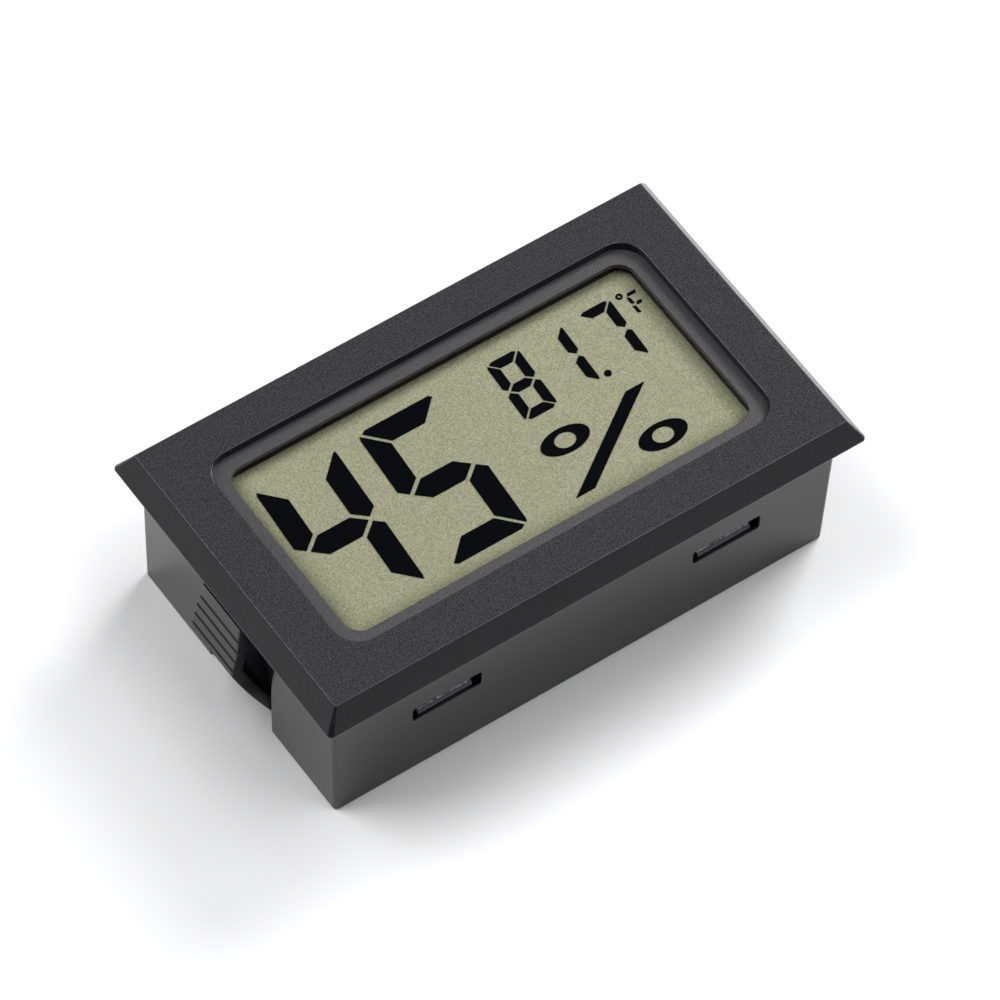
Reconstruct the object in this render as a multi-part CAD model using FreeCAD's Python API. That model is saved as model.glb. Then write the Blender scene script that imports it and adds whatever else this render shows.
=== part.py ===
import FreeCAD, Part
import math
import os

os.makedirs("parts", exist_ok=True)

# Panel thermo-hygrometer. Sizes are in millimetres.
# X runs along the display in reading order, Y up the display, Z out of the display.
# The origin is the centre of the back face. Sizes build up from the inside outwards.

# Figures on the display
big_width = 7.05
big_height = 13.6
big_stroke = 1.87
big_slant = 0.066            # sideways lean for each mm of height
big_spacing = 2.11           # clear space between the two large digits
small_width = 2.92
small_height = 5.87
small_stroke = 0.80
small_slant = 0.056
small_spacing = 0.99
point_spacing = 1.52         # wider space that holds the decimal point
point_radius = 0.29
big_segment_gap = 0.28
small_segment_gap = 0.17
big_blunt = 0.2              # how far a segment's outer corners are cut back
small_blunt = 0.15
blunt_along = 2.5            # a blunt corner's run along the top bar, in cut-backs
blunt_down = 2.0             # and down the side segment
side_point = 0.39            # point of a side segment from its outer edge, in strokes
side_gap = 0.83              # from that point to the middle line, in gaps
bar_gap = 0.9                # from that point to the middle bar, in gaps
bar_slope_angle = 40.0       # slope of the middle bar's pointed ends, in degrees
group_spacing = 4.755        # from the large digits to the small ones
unit_spacing = 0.65
unit_width = 1.69
ring_radius = 0.28
ring_bore = 0.12
letter_width = 1.04
letter_height = 1.96
letter_waist = 1.1           # top of the letter to the middle of its short bar
letter_stroke = 0.25
letter_lean = 0.03
letter_gap = 0.07            # between the letter's strokes
letter_drop = 0.3733         # letter's top below the top of the small digits
percent_ring_x = 2.09        # half width of a ring of the percent sign
percent_ring_y = 1.125
percent_hole_x = 0.89
percent_hole_y = 0.69
percent_spacing = 6.34       # from ring to ring along X
percent_bar = 1.72
percent_bar_lean = 8.6
percent_bar_foot = 0.25      # bar's foot left of the upper ring
percent_height = 5.85
small_drop = 0.07            # top of the small digits below the top of the large ones
percent_inset = 0.82         # left edge of the percent sign left of the small digits
left_margin = 1.01
right_margin = 0.43
edge_margin = 1.73           # view edge to the large digits along Y

# Display cell
polarizer_thickness = 0.12
glass_thickness = 0.5
cell_gap = 0.08
reflector_thickness = 0.2
glass_overlap_x = 0.4        # glass hidden behind the window frame
glass_overlap_y = 0.77
contact_ledge = 1.5          # front glass beyond the rear glass
film_inset = 0.2
seal_clearance = 0.08

# Window frame
lip_thickness = 0.45
ledge_width = 1.24
ledge_depth = 0.75
window_corner = 2.2
view_corner = 1.5
window_edge_round = 0.06     # top face to the wall of the window
view_edge_round = 0.05       # ledge to the view opening
lip_edge_round = 0.05        # under the lip, beside the display

# Housing
bay_room = 1.59              # display glass to the wall of a clip bay
bay_wall = 0.9
bay_step = 0.2               # clip bay floor to the inner face of the end wall
end_wall = 1.5
side_wall = 1.37
ledge_room = 0.55            # contact ledge to the side wall
end_draft = 0.37             # each end leans in by this much at the back
body_corner = 0.42
cavity_corner = 0.6
back_edge_round = 0.2
flange_overhang_x = 1.4
flange_overhang_y = 1.58
flange_thickness = 2.0
flange_rim = 0.15
rim_edge_round = 0.06
flange_chamfer_x = 1.18      # run of the chamfer at the two ends
flange_chamfer_y = 1.13      # and along the sides
flange_corner = 0.4
crest_corner = 0.14
crest_round = 0.1
rib_thickness = 0.8
rib_height = 1.2
rib_spread_x = 10.0
rib_spread_y = 2.5
rib_clearance = 0.15

# Sprung panel clips
bay_half_width = 4.15
bay_shift = -0.25            # the bays stand a little below the middle
bay_flare_start = 4.5        # height where the bay's sides begin to curve outwards
bay_flare_radius = 20.0
clip_half_width = 2.7
clip_tip_half_width = 2.33
clip_taper_height = 2.6
clip_root_step = 0.35        # outer root edge beyond the bay floor
clip_thickness = 0.95
clip_tip_thickness = 0.95
clip_proud = 2.15            # apex beyond the end wall
clip_tip_proud = 1.24
clip_tip_gap = 0.75          # tip below the flange
clip_bulge = 0.13            # crown of the lead-in
rib_count = 5
rib_pitch = 1.04
tip_rib = 1.3                # height of the rib nearest the flange
apex_rib = 0.58              # height of the rib at the apex
groove_depth = 0.16
groove_width = 0.3
clip_edge_round = 0.1

# Circuit board and what it carries
lcd_lift = 2.2               # board to the back of the display
board_thickness = 1.0
board_clearance = 0.2
part_room = 1.2              # behind the board
blob_radius = 4.2
blob_height = 0.9
capacitor_size = (2.0, 1.25, 0.7)
resistor_size = (1.6, 0.8, 0.45)
capacitor_count = 3
resistor_count = 5
chip_pitch_wide = 5.0
chip_pitch_close = 3.0
chip_gap = 1.8               # battery well to the middle of a row of chips
zebra_thickness = 1.2
zebra_end_gap = 1.4
foam_width = 1.8
foam_end_gap = 3.4
sensor_length = 8.0
sensor_width = 4.2
sensor_thickness = 0.6
sensor_drop = 2.2            # board to the sensor plate
sensor_end_gap = 2.7         # clip bay wall to the sensor's middle
sensor_well_gap = 1.2        # least room from the battery well to the sensor
leg_radius = 0.25
leg_spread = 1.27
bead_radius = 0.8
bead_drop = 2.0
bead_gap = 1.8               # sensor plate to the bead
lead_radius = 0.15
lead_spread = 0.4
boss_inset_x = 1.1           # screw axis to the inner face of the end wall
boss_inset_y = 1.25
boss_radius = 1.4
screw_radius = 0.7
screw_fit = 0.02
screw_length = 3.6
screw_head_radius = 1.0
screw_head_height = 0.7
recess_width = 0.3
recess_length = 1.4
recess_depth = 0.35

# Button cells and contacts
cell_radius = 5.8
cell_height = 5.4
cell_spacing = 0.6
cell_cap_radius = 4.7
cell_cap_height = 0.45
cell_rim_round = 0.4
cell_side_room = 0.3
cell_end_room = 0.5
contact_room = 0.35          # cell to the roof of the battery well
leaf_thickness = 0.2
leaf_width = 4.4
dimple_radius = 1.0
tail_offset = 3.9            # cell axis to the contact's tail
tail_width = 2.0
tail_clearance = 0.15
leaf_reach = 3.2             # cell axis to the leaf's free end

# Rear cover and battery door
cover_thickness = 1.5
cover_clearance = 0.1
well_wall = 1.0
well_roof = 0.8
door_thickness = 1.1
door_recess = 0.15           # door's outer face below the back face
door_clearance = 0.15
door_overlap_x = 1.1         # door beyond the well
door_overlap_y = 0.8
door_travel = 3.0
door_tab_length = 3.0
door_tab_reach = 0.6
door_tab_thickness = 0.5
door_tab_rise = 0.4
door_tab_offset = 8.0
frame_width = 1.0            # cover left beyond the door's recess
frame_side = 0.75
frame_roof = 0.8             # cover left over the door's run-out
grip_count = 3
grip_pitch = 1.2
grip_width = 0.6
grip_depth = 0.3
grip_length = 6.0
grip_offset = 2.0
strip_thickness = 0.2
strip_overhang = 2.9         # link strip beyond a cell's axis
cell_rest_gap = 0.2          # link strip to the cells
post_side = 1.6
post_inset_x = 3.7           # post axis to the inner face of the end wall
post_inset_y = 1.55
vent_count = 3
vent_pitch = 1.4
vent_width = 0.8
vent_length = 8.0

# Snap hooks of the rear cover and their slots
slot_offset = 12.6
slot_shift = 0.15            # both slots stand a little to the right
slot_length = 6.08
slot_height = 1.55
slot_rise = 6.4
slot_corner = 0.28
slot_edge_round = 0.08
hook_width = 4.75
hook_setback = 0.3           # hook's land behind the outer face
hook_land = 0.32
hook_arm = 0.8
hook_gap = 0.08

# Modelling aids
run_past = 1.0               # a cut runs this far past the face that it opens
touch = 0.01                 # an edge within this of a face counts as lying on it

# Places that follow from the sizes, along X
view_half_x = (left_margin + 2 * big_width + big_spacing + group_spacing + 3 * small_width
               + small_spacing + point_spacing + unit_spacing + unit_width + right_margin) / 2
view_half_y = big_height / 2 + edge_margin
glass_half_x = view_half_x + glass_overlap_x
glass_half_y = view_half_y + glass_overlap_y
ledge_y = -glass_half_y - contact_ledge
cell_x = cell_radius + cell_spacing / 2
well_half_x = cell_x + cell_radius + cell_end_room
well_half_y = cell_radius + cell_side_room
door_half_x = well_half_x + door_overlap_x
door_half_y = well_half_y + door_overlap_y
frame_left = -door_half_x - door_clearance - frame_width
frame_right = door_half_x + door_clearance + door_travel + frame_width
frame_half_y = door_half_y + door_tab_reach + 2 * door_clearance + frame_side
sensor_room = sensor_well_gap + sensor_width / 2 + sensor_end_gap
bay_inner = max(glass_half_x + bay_room, frame_right + 2 * cover_clearance,
                well_half_x + well_wall + sensor_room)
bay_floor = bay_inner + bay_wall
cavity_half_x = bay_floor + bay_step
cavity_half_y = max(-ledge_y + ledge_room, frame_half_y + hook_arm + cover_clearance)
body_half_x = cavity_half_x + end_wall
body_half_y = cavity_half_y + side_wall
flange_half_x = body_half_x + flange_overhang_x
flange_half_y = body_half_y + flange_overhang_y
sensor_x = -(bay_inner - sensor_end_gap)
bead_y = sensor_length / 2 + bead_gap + bead_radius
chip_row = well_half_y + well_wall + chip_gap

# Heights that follow from the sizes, from the back face forwards
door_top = door_recess + door_thickness
tab_bottom = door_recess + door_tab_rise
tab_top = tab_bottom + door_tab_thickness
cell_bottom = door_top + strip_thickness + cell_rest_gap
cell_top = cell_bottom + cell_height
roof_bottom = cell_top + contact_room
roof_top = roof_bottom + well_roof
board_back = roof_top + part_room
board_front = board_back + board_thickness
reflector_back = board_front + lcd_lift
rear_glass_back = reflector_back + reflector_thickness
figures_back = rear_glass_back + glass_thickness
figures_front = figures_back + cell_gap
polarizer_back = figures_front + glass_thickness
lcd_front = polarizer_back + polarizer_thickness
ledge_top = lcd_front + lip_thickness
front_face = ledge_top + ledge_depth
flange_back = front_face - flange_thickness


def vec(x, y, z):
    return FreeCAD.Vector(x, y, z)


def box(x0, x1, y0, y1, z0, z1):
    return Part.makeBox(x1 - x0, y1 - y0, z1 - z0, vec(x0, y0, z0))


def cylinder(radius, x, y, z0, z1):
    return Part.makeCylinder(radius, z1 - z0, vec(x, y, z0))


def prism(points, z0, z1):
    """Solid with a polygon outline in XY."""
    corners = [vec(x, y, z0) for x, y in points]
    face = Part.Face(Part.makePolygon(corners + corners[:1]))
    return face.extrude(vec(0, 0, z1 - z0))


def cross_prism(points, y0, y1):
    """Solid with a polygon outline in XZ, drawn out along Y."""
    corners = [vec(x, y0, z) for x, z in points]
    face = Part.Face(Part.makePolygon(corners + corners[:1]))
    return face.extrude(vec(0, y1 - y0, 0))


def rounded_wire(half_x, half_y, radius, z):
    """Rectangle with rounded corners at height z."""
    in_x = half_x - radius
    in_y = half_y - radius
    bend = radius * math.sqrt(0.5)
    edges = []
    for sx, sy, along in ((1, 1, False), (-1, 1, True), (-1, -1, False), (1, -1, True)):
        on_x = vec(sx * half_x, sy * in_y, z)
        on_y = vec(sx * in_x, sy * half_y, z)
        mid = vec(sx * (in_x + bend), sy * (in_y + bend), z)
        first, last = (on_y, on_x) if along else (on_x, on_y)
        if edges:
            edges.append(Part.LineSegment(edges[-1].lastVertex().Point, first).toShape())
        edges.append(Part.Arc(first, mid, last).toShape())
    start = edges[0].firstVertex().Point
    edges.append(Part.LineSegment(edges[-1].lastVertex().Point, start).toShape())
    return Part.Wire(edges)


def rounded_plate(half_x, half_y, radius, z0, z1):
    face = Part.Face(rounded_wire(half_x, half_y, radius, z0))
    return face.extrude(vec(0, 0, z1 - z0))


def both_ends(shape):
    """The shape at +X and its mirror image at -X."""
    return [shape, shape.mirror(vec(0, 0, 0), vec(1, 0, 0))]


def all_corners(shape):
    pair = both_ends(shape)
    return pair + [one.mirror(vec(0, 0, 0), vec(0, 1, 0)) for one in pair]


def at_slots(shape):
    """The shape, drawn at X = 0 on the +Y side, at the four slots."""
    pair = [shape.translated(vec(slot_shift + side * slot_offset, 0, 0)) for side in (-1, 1)]
    return pair + [one.mirror(vec(0, 0, 0), vec(0, 1, 0)) for one in pair]


def save(name, shape):
    shape.exportStep("parts/%s.step" % name)


def edges_within(shape, low, high):
    """Edges of the shape that end between two corners."""
    room = FreeCAD.BoundBox(vec(*low), vec(*high))
    room.enlarge(touch)
    return [edge for edge in shape.Edges if all(room.isInside(end.Point) for end in edge.Vertexes)]


def level_edges(shape, half_x, half_y, z):
    """Edges of the shape at height z, within half_x and half_y of the middle."""
    return edges_within(shape, (-half_x, -half_y, z), (half_x, half_y, z))


def bay_profile(extra, top):
    """Outline of a clip bay in YZ: upright sides that flare outwards towards the flange."""
    half = bay_half_width + extra
    rise = top - bay_flare_start

    def flare(height):
        return half + bay_flare_radius - math.sqrt(bay_flare_radius ** 2 - height ** 2)

    def at(y, z):
        return vec(0, y + bay_shift, z)

    edges = [
        Part.LineSegment(at(-half, 0), at(half, 0)).toShape(),
        Part.LineSegment(at(half, 0), at(half, bay_flare_start)).toShape(),
        Part.Arc(at(half, bay_flare_start), at(flare(rise / 2), bay_flare_start + rise / 2),
                 at(flare(rise), top)).toShape(),
        Part.LineSegment(at(flare(rise), top), at(-flare(rise), top)).toShape(),
        Part.Arc(at(-flare(rise), top), at(-flare(rise / 2), bay_flare_start + rise / 2),
                 at(-half, bay_flare_start)).toShape(),
        Part.LineSegment(at(-half, bay_flare_start), at(-half, 0)).toShape(),
    ]
    return Part.Face(Part.Wire(edges))


def bay_block(extra, inner, outer, top):
    """Space of a clip bay, drawn out along X from inner to outer."""
    face = bay_profile(extra, top)
    face.translate(vec(inner, 0, 0))
    return face.extrude(vec(outer - inner, 0, 0))


def panel_clip():
    """Sprung clip at the +X end: crowned lead-in, apex, ribbed face and blunt tip."""
    root = bay_floor + clip_root_step
    apex = body_half_x + clip_proud
    tip = body_half_x + clip_tip_proud
    tip_z = flange_back - clip_tip_gap
    apex_z = tip_z - tip_rib - (rib_count - 2) * rib_pitch - apex_rib
    mid = (root + apex) / 2 + clip_bulge
    mid_z = apex_z / 2

    def at(x, z):
        return vec(x, -clip_half_width, z)

    lead_in = Part.Arc(at(root, 0), at(mid, mid_z), at(apex, apex_z)).toShape()
    inside = Part.Arc(at(apex - clip_thickness, apex_z), at(mid - clip_thickness, mid_z),
                      at(root - clip_thickness, 0)).toShape()
    edges = [
        lead_in,
        Part.LineSegment(at(apex, apex_z), at(tip, tip_z)).toShape(),
        Part.LineSegment(at(tip, tip_z), at(tip - clip_tip_thickness, tip_z)).toShape(),
        Part.LineSegment(at(tip - clip_tip_thickness, tip_z),
                         at(apex - clip_thickness, apex_z)).toShape(),
        inside,
        Part.LineSegment(at(root - clip_thickness, 0), at(root, 0)).toShape(),
    ]
    clip = Part.Face(Part.Wire(edges)).extrude(vec(0, 2 * clip_half_width, 0))

    # Both sides narrow towards the tip
    side = [vec(bay_inner, -clip_half_width, 0), vec(bay_inner, clip_half_width, 0),
            vec(bay_inner, clip_half_width, tip_z - clip_taper_height),
            vec(bay_inner, clip_tip_half_width, tip_z),
            vec(bay_inner, -clip_tip_half_width, tip_z),
            vec(bay_inner, -clip_half_width, tip_z - clip_taper_height)]
    outline = Part.Face(Part.makePolygon(side + side[:1]))
    clip = clip.common(outline.extrude(vec(apex - bay_inner + run_past, 0, 0)))
    beside_ribs = [edge for edge in clip.Edges
                   if edge.BoundBox.XMin > tip - touch and edge.BoundBox.YLength < clip_half_width]
    clip = clip.makeFillet(clip_edge_round, beside_ribs)

    # Grooves across the sloping face leave the ribs
    slope = (tip - apex) / (tip_z - apex_z)
    for number in range(rib_count - 1):
        z = apex_z + apex_rib + number * rib_pitch
        x = apex + slope * (z - apex_z)
        rise = groove_width / 2 * (1 + touch / groove_depth)
        groove = [(x + touch - slope * rise, z - rise), (x + touch + slope * rise, z + rise),
                  (x - groove_depth, z)]
        clip = clip.cut(cross_prism(groove, -clip_half_width - run_past, clip_half_width + run_past))
    return clip


def front_housing():
    body = Part.makeLoft([rounded_wire(body_half_x - end_draft, body_half_y, body_corner, 0),
                          rounded_wire(body_half_x, body_half_y, body_corner, flange_back)],
                         True, True)
    body = body.makeFillet(back_edge_round, level_edges(body, body_half_x, body_half_y, 0))
    rim_top = flange_back + flange_rim
    rim = rounded_plate(flange_half_x, flange_half_y, flange_corner, flange_back, rim_top)
    rim = rim.makeFillet(rim_edge_round, level_edges(rim, flange_half_x, flange_half_y, flange_back))
    crown = Part.makeLoft([rounded_wire(flange_half_x, flange_half_y, flange_corner, rim_top),
                           rounded_wire(flange_half_x - flange_chamfer_x, flange_half_y - flange_chamfer_y,
                                        crest_corner, front_face)], True, True)
    crown = crown.makeFillet(crest_round, level_edges(crown, flange_half_x, flange_half_y, front_face))
    shell = body.fuse([rim, crown])

    # Hollow inside, then the window with its ledge
    shell = shell.cut(rounded_plate(cavity_half_x, cavity_half_y, cavity_corner, -run_past, lcd_front))
    window_x = view_half_x + ledge_width
    window_y = view_half_y + ledge_width
    window = rounded_plate(window_x, window_y, window_corner, ledge_top, front_face + run_past)
    view = rounded_plate(view_half_x, view_half_y, view_corner, lcd_front - run_past, front_face)
    shell = shell.cut(window.fuse(view))
    shell = shell.makeFillet(window_edge_round, level_edges(shell, window_x, window_y, front_face))
    shell = shell.makeFillet(view_edge_round, level_edges(shell, view_half_x, view_half_y, ledge_top))
    shell = shell.makeFillet(lip_edge_round, level_edges(shell, view_half_x, view_half_y, lcd_front))

    # Clip bays: walls inside, then the pocket open to the end and the back
    shell = shell.fuse(both_ends(bay_block(bay_wall, bay_inner, cavity_half_x + bay_step, lcd_front)))
    for pocket in both_ends(bay_block(0, bay_floor, flange_half_x + run_past, flange_back)):
        shell = shell.cut(pocket)
    shell = shell.fuse(both_ends(panel_clip()))

    # Screw bosses and the ribs that locate the display
    boss_x = cavity_half_x - boss_inset_x
    boss_y = cavity_half_y - boss_inset_y
    bosses = all_corners(cylinder(boss_radius, boss_x, boss_y, board_front, lcd_front + lip_thickness))
    end_rib = box(glass_half_x + rib_clearance, bay_inner + bay_wall / 2,
                  rib_spread_y, rib_spread_y + rib_thickness, lcd_front - rib_height, ledge_top)
    side_rib = box(rib_spread_x, rib_spread_x + rib_thickness, glass_half_y + rib_clearance,
                   cavity_half_y + side_wall / 2, lcd_front - rib_height, ledge_top)
    shell = shell.fuse(bosses + all_corners(end_rib) + both_ends(side_rib))
    bore_top = board_back + screw_length + screw_fit
    for bore in all_corners(cylinder(screw_radius + screw_fit, boss_x, boss_y, board_front, bore_top)):
        shell = shell.cut(bore)

    # Slots for the rear cover's hooks
    slot = box(-slot_length / 2, slot_length / 2,
               cavity_half_y - run_past, body_half_y + run_past, slot_rise, slot_rise + slot_height)
    through = [edge for edge in slot.Edges if abs(edge.firstVertex().Y - edge.lastVertex().Y) > touch]
    for hole in at_slots(slot.makeFillet(slot_corner, through)):
        shell = shell.cut(hole)
        room = hole.BoundBox
        face_y = math.copysign(body_half_y, room.Center.y)
        mouth = edges_within(shell, (room.XMin, face_y, room.ZMin), (room.XMax, face_y, room.ZMax))
        shell = shell.makeFillet(slot_edge_round, mouth)
    return shell.removeSplitter()


def digit_segments(width, height, stroke, gap, blunt):
    """Outlines of the seven segments about the digit's middle, before the slant."""
    w = width / 2
    h = height / 2
    mitre = gap / math.sqrt(2)
    slope = math.tan(math.radians(bar_slope_angle))
    point_x = w - side_point * stroke
    point_y = side_gap * gap
    bar_x = point_x - bar_gap * gap
    along = blunt_along * blunt
    upper_right = [(w - stroke, h - stroke - mitre), (w - blunt / 2, h - mitre - blunt / 2),
                   (w, h - mitre - blunt_down * blunt), (w, point_y + slope * (w - point_x)),
                   (point_x, point_y), (w - stroke, point_y + slope * (point_x - w + stroke))]
    top = [(stroke + mitre - w, h - stroke), (w - stroke - mitre, h - stroke),
           (w - mitre - blunt, h - blunt), (w - mitre - along, h),
           (mitre + along - w, h), (mitre + blunt - w, h - blunt)]
    shoulder = bar_x - stroke / 2 / slope
    middle = [(-bar_x, 0), (-shoulder, stroke / 2), (shoulder, stroke / 2),
              (bar_x, 0), (shoulder, -stroke / 2), (-shoulder, -stroke / 2)]
    return {
        "a": top,
        "b": upper_right,
        "c": [(x, -y) for x, y in upper_right],
        "d": [(x, -y) for x, y in top],
        "e": [(-x, -y) for x, y in upper_right],
        "f": [(-x, y) for x, y in upper_right],
        "g": middle,
    }


lit_segments = {"1": "bc", "4": "fbgc", "5": "afgcd", "7": "abc", "8": "abcdefg"}


def figure_plate(points):
    return prism(points, figures_back, figures_front)


def digit(figure, left, middle_y, size, stroke, gap, blunt, slant):
    """Lit segments of one digit whose left edge is at left."""
    width, height = size
    outlines = digit_segments(width, height, stroke, gap, blunt)
    x0 = left + width / 2
    plates = []
    for letter in lit_segments[figure]:
        leaning = [(x0 + x + slant * y, middle_y + y) for x, y in outlines[letter]]
        plates.append(figure_plate(leaning))
    return plates


big_left = left_margin - view_half_x
small_left = big_left + 2 * big_width + big_spacing + group_spacing
small_pitch = small_width + small_spacing
seven_left = small_left + 2 * small_width + small_spacing + point_spacing
small_top = big_height / 2 - small_drop
small_middle = small_top - small_height / 2
unit_left = seven_left + small_width + unit_spacing


def humidity_digits():
    plates = []
    for number, figure in enumerate("45"):
        left = big_left + number * (big_width + big_spacing)
        plates += digit(figure, left, 0, (big_width, big_height), big_stroke,
                        big_segment_gap, big_blunt, big_slant)
    return Part.makeCompound(plates)


def temperature_digits():
    plates = []
    for figure, left in (("8", small_left), ("1", small_left + small_pitch), ("7", seven_left)):
        plates += digit(figure, left, small_middle, (small_width, small_height), small_stroke,
                        small_segment_gap, small_blunt, small_slant)
    point_x = seven_left - point_spacing / 2 - small_slant * small_height / 2
    point_y = small_top - small_height + point_radius
    plates.append(cylinder(point_radius, point_x, point_y, figures_back, figures_front))
    return Part.makeCompound(plates)


def percent_sign():
    """Two flat rings, one up to the left and one down to the right, and a slanting bar."""
    left = small_left - percent_inset
    bottom = -big_height / 2
    ring_drop = percent_height - 2 * percent_ring_y
    plates = []
    for x, y in ((left + percent_ring_x, bottom + percent_ring_y + ring_drop),
                 (left + percent_ring_x + percent_spacing, bottom + percent_ring_y)):
        ring = Part.Ellipse(vec(x, y, figures_back), percent_ring_x, percent_ring_y).toShape()
        hole = Part.Ellipse(vec(x, y, figures_back), percent_hole_x, percent_hole_y).toShape()
        face = Part.Face([Part.Wire(ring), Part.Wire(hole)])
        plates.append(face.extrude(vec(0, 0, cell_gap)))
    foot = left - percent_bar_foot
    head = foot + percent_bar_lean
    plates.append(figure_plate([(foot, bottom), (foot + percent_bar, bottom),
                                (head + percent_bar, bottom + percent_height),
                                (head, bottom + percent_height)]))
    return Part.makeCompound(plates)


def unit_mark():
    """Degree ring and the letter F, drawn as four strokes with slanted ends."""
    ring_y = small_top - ring_radius
    ring = cylinder(ring_radius, unit_left + ring_radius, ring_y, figures_back, figures_front)
    ring = ring.cut(cylinder(ring_bore, unit_left + ring_radius, ring_y, figures_back, figures_front))
    right = unit_left + unit_width
    upper = right - letter_width + letter_lean
    lower = right - letter_width - letter_lean
    top = small_top - letter_drop
    middle = top - letter_waist
    half = letter_stroke / 2
    gap = letter_gap

    def level_stroke(x0, x1, y):
        return figure_plate([(x0, y - half), (x1 - half, y - half), (x1, y + half), (x0 + half, y + half)])

    def upright_stroke(x, low, high):
        return figure_plate([(x, high), (x, low + half), (x + letter_stroke, low),
                             (x + letter_stroke, high - half)])

    return Part.makeCompound([
        ring,
        level_stroke(upper + half, right, top - half),
        level_stroke(upper + letter_stroke + gap, right - half, middle),
        upright_stroke(upper, middle + gap, top - letter_stroke - gap),
        upright_stroke(lower, top - letter_height, middle - gap),
    ])


def glass_outline(inset, bottom, z0, z1):
    """Display layer that reaches down to bottom along Y."""
    half_x = glass_half_x - inset
    return box(-half_x, half_x, bottom + inset, glass_half_y - inset, z0, z1)


def edge_seal():
    outer = glass_outline(0, -glass_half_y, figures_back, figures_front)
    inner_x = view_half_x + seal_clearance
    inner_y = view_half_y + seal_clearance
    return outer.cut(box(-inner_x, inner_x, -inner_y, inner_y, figures_back, figures_front))


def zebra_strip():
    half_x = glass_half_x - zebra_end_gap
    middle = (ledge_y - glass_half_y) / 2
    return box(-half_x, half_x, middle - zebra_thickness / 2, middle + zebra_thickness / 2,
               board_front, polarizer_back - glass_thickness)


def foam_pad():
    half_x = glass_half_x - foam_end_gap
    top = glass_half_y - film_inset
    return box(-half_x, half_x, top - foam_width, top, board_front, reflector_back)


def circuit_board():
    half_x = cavity_half_x - board_clearance
    half_y = cavity_half_y - board_clearance
    board = box(-half_x, half_x, -half_y, half_y, board_back, board_front)
    for notch in both_ends(bay_block(bay_wall + board_clearance, bay_inner - board_clearance,
                                     cavity_half_x, lcd_front)):
        board = board.cut(notch)
    screw_x = cavity_half_x - boss_inset_x
    screw_y = cavity_half_y - boss_inset_y
    hole = cylinder(screw_radius + screw_fit, screw_x, screw_y, board_back, board_front)
    mouth = box(screw_x, cavity_half_x, screw_y - screw_radius - screw_fit,
                screw_y + screw_radius + screw_fit, board_back, board_front)
    for notch in all_corners(hole.fuse(mouth)):
        board = board.cut(notch)
    return board


def board_screws():
    """Four short screws with cross recesses, their heads behind the board."""
    x = cavity_half_x - boss_inset_x
    y = cavity_half_y - boss_inset_y
    head_back = board_back - screw_head_height
    screw = cylinder(screw_head_radius, x, y, head_back, board_back)
    screw = screw.fuse(cylinder(screw_radius, x, y, board_back, board_back + screw_length))
    half = recess_length / 2
    slim = recess_width / 2
    depth = head_back + recess_depth
    screw = screw.cut(box(x - half, x + half, y - slim, y + slim, head_back, depth))
    screw = screw.cut(box(x - slim, x + slim, y - half, y + half, head_back, depth))
    return Part.makeCompound(all_corners(screw))


def chip_blob():
    """Shallow dome of epoxy behind the board."""
    ball = (blob_radius ** 2 + blob_height ** 2) / (2 * blob_height)
    sphere = Part.makeSphere(ball, vec(0, 0, board_back - blob_height + ball))
    return sphere.common(cylinder(blob_radius, 0, 0, board_back - blob_height, board_back))


def chip_row_of(count, pitch, size, y):
    length, width, height = size
    chips = []
    for number in range(count):
        x = (number - (count - 1) / 2) * pitch
        chips.append(box(x - length / 2, x + length / 2, y - width / 2, y + width / 2,
                         board_back - height, board_back))
    return Part.makeCompound(chips)


def humidity_sensor():
    """Ceramic plate that hangs behind the board on two legs."""
    front = board_back - sensor_drop
    plate = box(sensor_x - sensor_width / 2, sensor_x + sensor_width / 2,
                -sensor_length / 2, sensor_length / 2, front - sensor_thickness, front)
    legs = [cylinder(leg_radius, sensor_x, y, front, board_back) for y in (-leg_spread, leg_spread)]
    return plate.fuse(legs)


def temperature_sensor():
    """Glass bead on two leads."""
    middle = board_back - bead_drop
    bead = Part.makeSphere(bead_radius, vec(sensor_x, bead_y, middle))
    leads = [cylinder(lead_radius, sensor_x, bead_y + side * lead_spread, middle, board_back)
             for side in (-1, 1)]
    return bead.fuse(leads)


def battery_cell(side, cap_in_front):
    """Button cell: a rimmed can with a smaller cap on one face."""
    can = cylinder(cell_radius, 0, 0, 0, cell_height - cell_cap_height)
    rims = [edge for edge in can.Edges if edge.Length < 2 * math.pi * cell_radius + touch
            and edge.BoundBox.ZLength < touch]
    can = can.makeFillet(cell_rim_round, rims)
    cap = cylinder(cell_cap_radius, 0, 0, cell_height - cell_cap_height, cell_height)
    cell = can.fuse(cap).removeSplitter()
    if not cap_in_front:
        cell = cell.mirror(vec(0, 0, cell_height / 2), vec(0, 0, 1))
    cell.translate(vec(side * cell_x, 0, cell_bottom))
    return cell


def contact_tail(side):
    """Upright strip from the contact's leaf to the board."""
    x = side * (cell_x + tail_offset)
    half = leaf_thickness / 2
    return box(x - half, x + half, -tail_width / 2, tail_width / 2,
               roof_bottom - leaf_thickness, board_back)


def contact_positive():
    """Flat leaf under the roof of the well, with a dimple on the cell's can."""
    outer = -(cell_x + tail_offset) - leaf_thickness / 2
    inner = leaf_reach - cell_x
    leaf = box(outer, inner, -leaf_width / 2, leaf_width / 2,
               roof_bottom - leaf_thickness, roof_bottom)
    dimple = cylinder(dimple_radius, -cell_x, 0, cell_top, roof_bottom - leaf_thickness)
    return leaf.fuse([dimple, contact_tail(-1)]).removeSplitter()


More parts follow.
